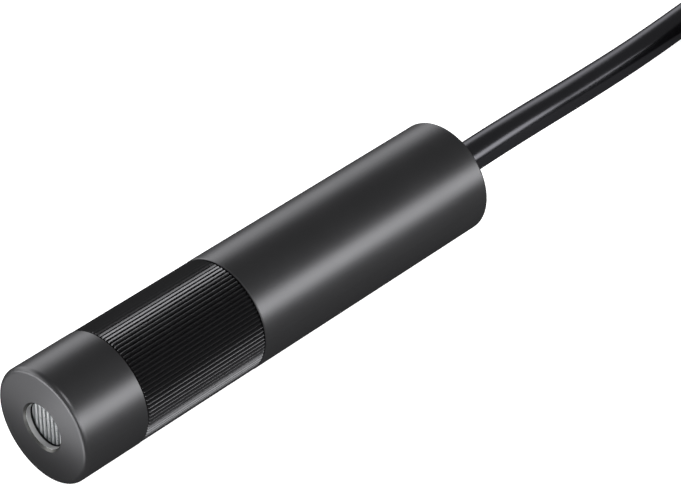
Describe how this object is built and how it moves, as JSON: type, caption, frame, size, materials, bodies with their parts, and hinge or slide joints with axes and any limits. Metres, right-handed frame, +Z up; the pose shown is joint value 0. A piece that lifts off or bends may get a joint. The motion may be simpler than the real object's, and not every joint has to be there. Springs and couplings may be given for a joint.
{
  "type": "laser diode module",
  "caption": "Cylindrical black laser line module with a knurled focus ring, a recessed ribbed line lens, and a round cable that ends in a round supply plug.",
  "frame": {"origin": "middle of the module's bottom line, where it lies on the surface, without its cable, hank and plug", "axes": "+Y along the module's axis from the nose to the rear, +Z up, +X to the right when looking along +Y"},
  "size_m": [0.05, 0.2122, 0.016],
  "materials": {
    "anodised_aluminium": "satin black anodised, turned",
    "clear_lens": "clear moulded acrylic and glass, polished",
    "brass": "turned, bare",
    "rubber": "matt black moulded rubber",
    "steel": "bright drawn",
    "gold_plated_leads": "gold plated",
    "submount": "ceramic submount with its chip",
    "circuit_board": "green solder mask on glass epoxy",
    "moulded_component": "moulded black epoxy",
    "ceramic_component": "ceramic chip resistor",
    "sleeve_film": "extruded insulating tube",
    "red_insulation": "red wire insulation",
    "black_insulation": "black wire insulation",
    "cable_jacket": "black extruded flexible jacket, semi-gloss",
    "tie_film": "flat twist tie, a wire in black plastic",
    "plug_moulding": "black moulded plastic",
    "nickel_plate": "nickel plated brass"
  },
  "bodies": {
    "housing": {"nose_cap": "anodised_aluminium", "barrel": "anodised_aluminium", "end_plug": "anodised_aluminium", "line_lens_ring": "anodised_aluminium", "diode_block": "brass", "line_lens": "clear_lens", "diode_window": "clear_lens", "focus_o_ring": "rubber", "cable_grommet": "rubber", "focus_spring": "steel", "diode_header": "steel", "diode_cap": "steel", "diode_leads": "gold_plated_leads", "laser_chip": "submount", "driver_board": "circuit_board", "driver_chip": "moulded_component", "board_capacitors": "moulded_component", "board_resistors": "ceramic_component", "insulating_sleeve": "sleeve_film", "positive_wire": "red_insulation", "negative_wire": "black_insulation", "cable_ferrule": "steel", "cable": "cable_jacket", "cable_hank": "cable_jacket", "cable_tie": "tie_film", "cable_tail": "cable_jacket", "plug_body": "plug_moulding", "plug_sleeve": "nickel_plate", "plug_insulator": "plug_moulding", "plug_contact": "nickel_plate"},
    "focus_ring": {"focus_ring": "anodised_aluminium"},
    "lens_cell": {"lens_cell": "anodised_aluminium", "drive_pin": "steel", "collimating_lens": "clear_lens", "lens_lock_ring": "brass"}
  },
  "joints": [
    {"name": "focus_turn", "type": "hinge", "parent": "housing", "child": "focus_ring", "pos_m": [0, -0.01595, 0.008], "axis": [0, 1, 0], "range_deg": [-75, 75]},
    {"name": "lens_travel", "type": "slide", "parent": "housing", "child": "lens_cell", "axis": [0, 1, 0], "range_m": [-0.00125, 0.00125], "deforming": ["focus_spring"]}
  ],
  "couplings": [
    {"joint": "focus_turn", "follows": "lens_travel", "rad_per_m": 1047.2}
  ]
}
